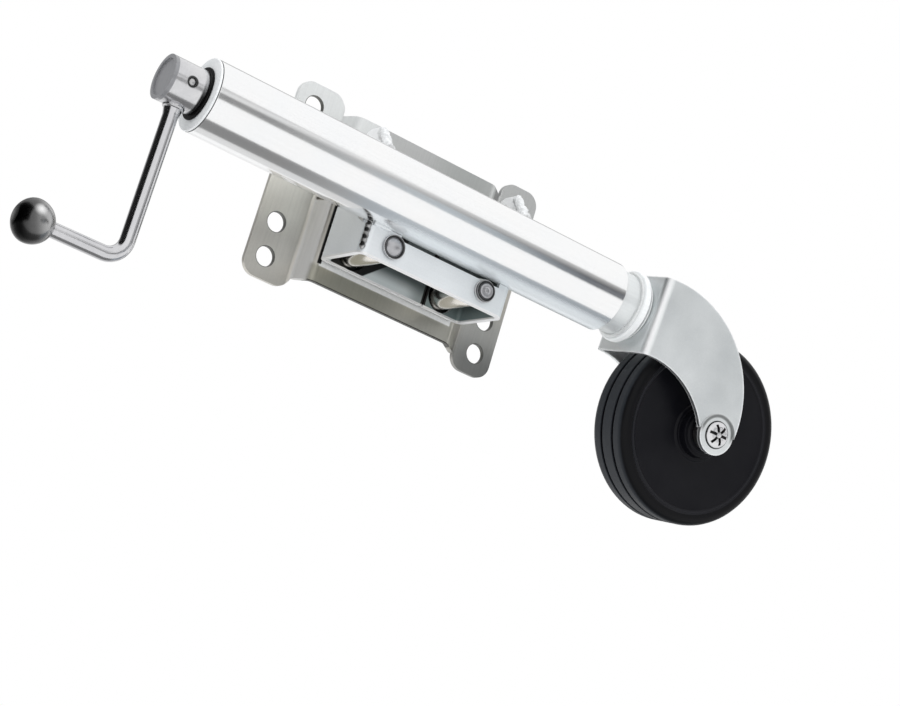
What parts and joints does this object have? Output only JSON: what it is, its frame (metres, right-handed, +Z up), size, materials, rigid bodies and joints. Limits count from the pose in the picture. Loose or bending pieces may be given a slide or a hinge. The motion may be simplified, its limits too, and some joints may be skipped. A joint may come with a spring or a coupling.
{
  "type": "fold-up trailer tongue jack",
  "caption": "Bolt-on trailer tongue jack: a tube on a pressed bracket folds level, and a crank and screw lower its leg with a swivelling caster wheel.",
  "frame": {"origin": "middle of the bolt pattern, on the bracket faces that bear on the trailer tongue", "axes": "+X along the folded tube toward the wheel, +Y into the tongue, +Z up"},
  "size_m": [0.672, 0.1308, 0.2332],
  "materials": {
    "plate_zinc": "zinc plated pressed plate, satin",
    "tube_zinc": "bright zinc plated tube",
    "fork_zinc": "zinc plated pressed plate, satin",
    "pin_zinc": "zinc plated pins and rings",
    "sleeve_zinc": "zinc plated sleeves with a warm tint",
    "crank_zinc": "bright zinc plated crank",
    "screw_steel": "oiled steel",
    "spring_steel": "spring wire",
    "nut_bronze": "bronze",
    "bush_plastic": "moulded plastic",
    "seal_rubber": "black rubber",
    "knob_steel": "polished dark plated steel ball",
    "wheel_rubber": "black moulded wheel"
  },
  "bodies": {
    "bracket": {"mounting_bracket": "plate_zinc", "pivot_pin": "pin_zinc", "pivot_washer": "pin_zinc"},
    "swing": {"swing_carrier": "tube_zinc", "pivot_sleeve": "sleeve_zinc", "lock_sleeve": "sleeve_zinc", "lock_spring": "spring_steel", "outer_tube": "tube_zinc", "tube_cap": "tube_zinc", "hub_seal": "seal_rubber", "thrust_bearing": "screw_steel", "guide_bush": "bush_plastic"},
    "lock": {"lock_pin": "pin_zinc", "spring_seat": "screw_steel"},
    "crank": {"crank_hub": "crank_zinc", "hub_pin": "spring_steel", "crank_arm": "crank_zinc", "crank_knob": "knob_steel", "lead_screw": "screw_steel"},
    "leg": {"lead_nut": "nut_bronze", "inner_tube": "tube_zinc", "stem_plug": "screw_steel", "kingpin": "pin_zinc", "swivel_flange": "tube_zinc", "swivel_bearing": "pin_zinc"},
    "caster": {"yoke": "fork_zinc", "axle_rod": "pin_zinc", "axle_caps": "pin_zinc", "wheel_bush": "pin_zinc", "axle_spacers": "screw_steel"},
    "wheel": {"wheel": "wheel_rubber"}
  },
  "joints": [
    {"name": "swing_fold", "type": "hinge", "parent": "bracket", "child": "swing", "pos_m": [0.0432, -0.028, -0.04], "axis": [0, 1, 0], "range_deg": [0, 90]},
    {"name": "lock_pull", "type": "slide", "parent": "swing", "child": "lock", "axis": [0, -1, 0], "range_m": [0, 0.012], "stiffness_N_per_m": 900, "springref_m": -0.012, "deforming": ["lock_spring"]},
    {"name": "crank_spin", "type": "hinge", "parent": "swing", "child": "crank", "pos_m": [-0.245, -0.088, 0], "axis": [1, 0, 0], "range_deg": [0, 14400]},
    {"name": "leg_slide", "type": "slide", "parent": "swing", "child": "leg", "axis": [1, 0, 0], "range_m": [0, 0.254]},
    {"name": "caster_swivel", "type": "hinge", "parent": "leg", "child": "caster", "pos_m": [0.181, -0.088, 0], "axis": [1, 0, 0], "continuous": true},
    {"name": "wheel_spin", "type": "hinge", "parent": "caster", "child": "wheel", "pos_m": [0.267, -0.07947, -0.06948], "axis": [0, 0.9925, 0.1219], "continuous": true}
  ],
  "couplings": [
    {"joint": "leg_slide", "follows": "crank_spin", "m_per_rad": 0.0010106}
  ]
}
